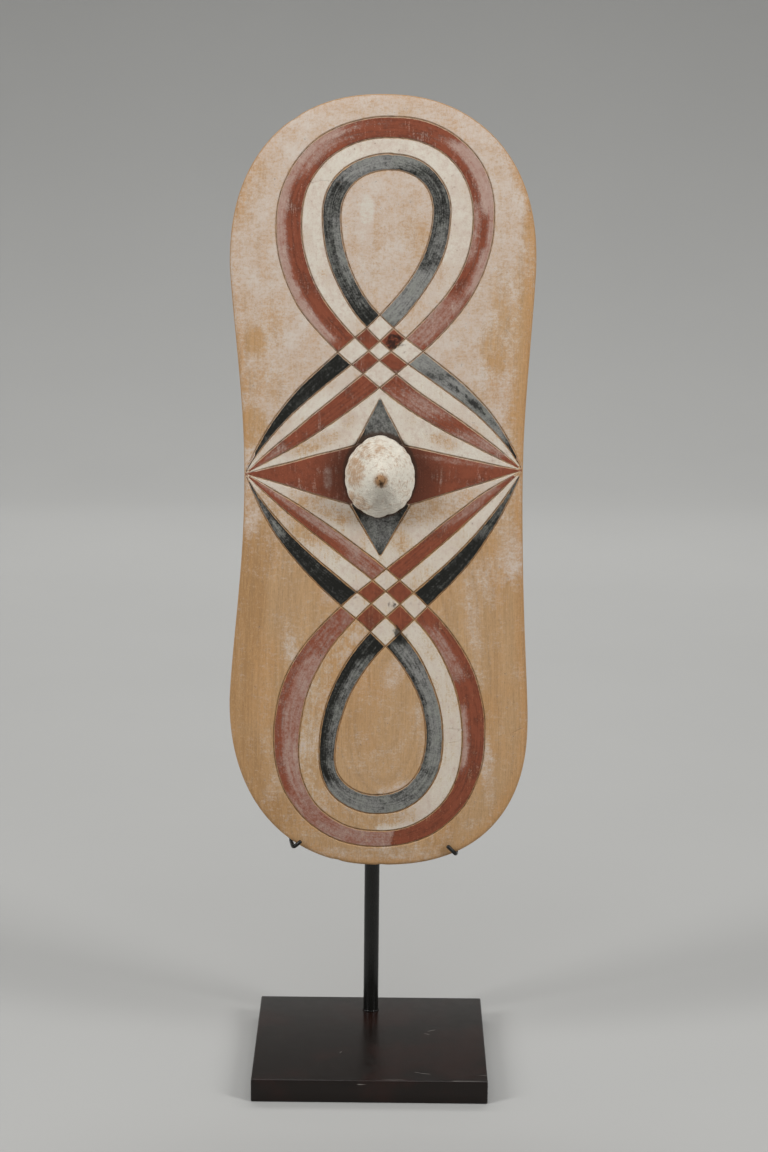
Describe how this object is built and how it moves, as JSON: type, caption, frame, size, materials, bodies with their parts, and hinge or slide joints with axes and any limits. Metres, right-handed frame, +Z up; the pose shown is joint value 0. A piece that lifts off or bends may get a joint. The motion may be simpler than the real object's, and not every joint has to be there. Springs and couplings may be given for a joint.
{
  "type": "dance shield on a display stand",
  "caption": "Carved wooden dance shield with a pointed boss, an arm sleeve and incised interlaced bands, resting in the hooks of a steel stand with a square base.",
  "frame": {"origin": "middle of the underside of the base plate", "axes": "+Z up, the painted front faces -Y, +X to the right as seen from the front"},
  "size_m": [0.239, 0.1906, 0.7965],
  "materials": {
    "shield_wood": "dry light wood, thin chalk wash, with earth red, white and charcoal pigment between the incised lines",
    "plate_steel": "brown-black patina, waxed to a soft sheen",
    "upright_steel": "black, satin to gloss",
    "rod_steel": "black, satin"
  },
  "bodies": {
    "root": {"shield": "shield_wood", "base_plate": "plate_steel", "upright": "upright_steel", "hook_left": "rod_steel", "hook_right": "rod_steel"}
  },
  "joints": []
}
